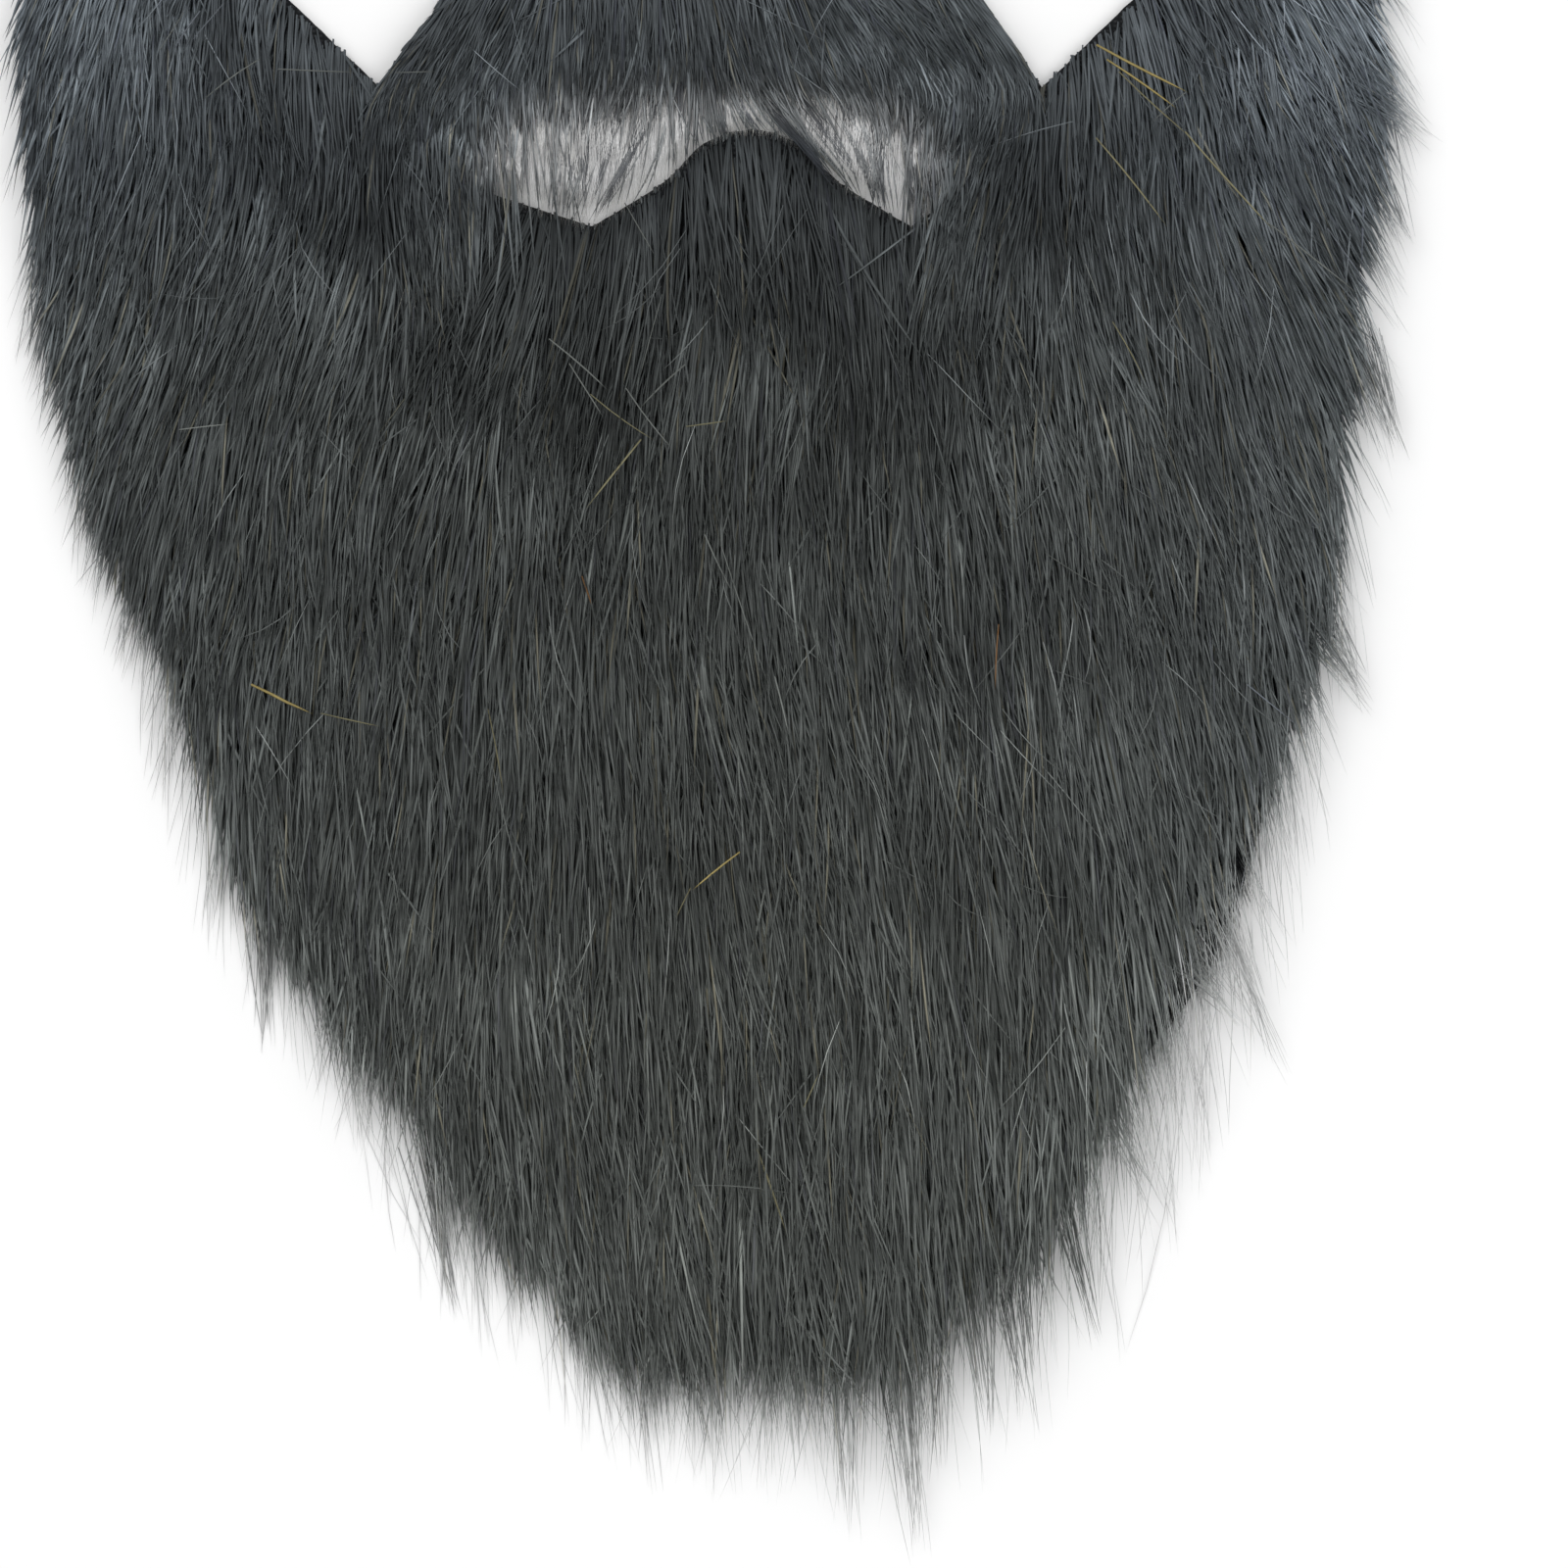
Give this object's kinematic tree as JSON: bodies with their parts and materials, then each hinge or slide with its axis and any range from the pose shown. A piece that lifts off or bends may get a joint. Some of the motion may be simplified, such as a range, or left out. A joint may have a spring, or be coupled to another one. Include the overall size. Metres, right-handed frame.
{
  "type": "fake beard",
  "caption": "Full costume beard of long dark pile fabric, lying flat, with moustache, mouth opening, sideburns and a flat elastic strap.",
  "frame": {"origin": "on the back of the cloth at the chin, on the centre line, where the beard lies on the table", "axes": "+X to the right of the picture, +Y from the chin towards the nose, +Z out of the hair"},
  "size_m": [0.266, 0.3618, 0.0185],
  "materials": {
    "cloth": "matt knitted ground cloth",
    "pile": "long soft synthetic fibres with a dull shine",
    "elastic": "matt woven elastic"
  },
  "bodies": {
    "root": {"backing_cloth": "cloth", "beard_pile": "pile", "moustache_pile": "pile", "sideburn_pile_left": "pile", "sideburn_pile_right": "pile", "elastic_strap": "elastic"}
  },
  "joints": []
}
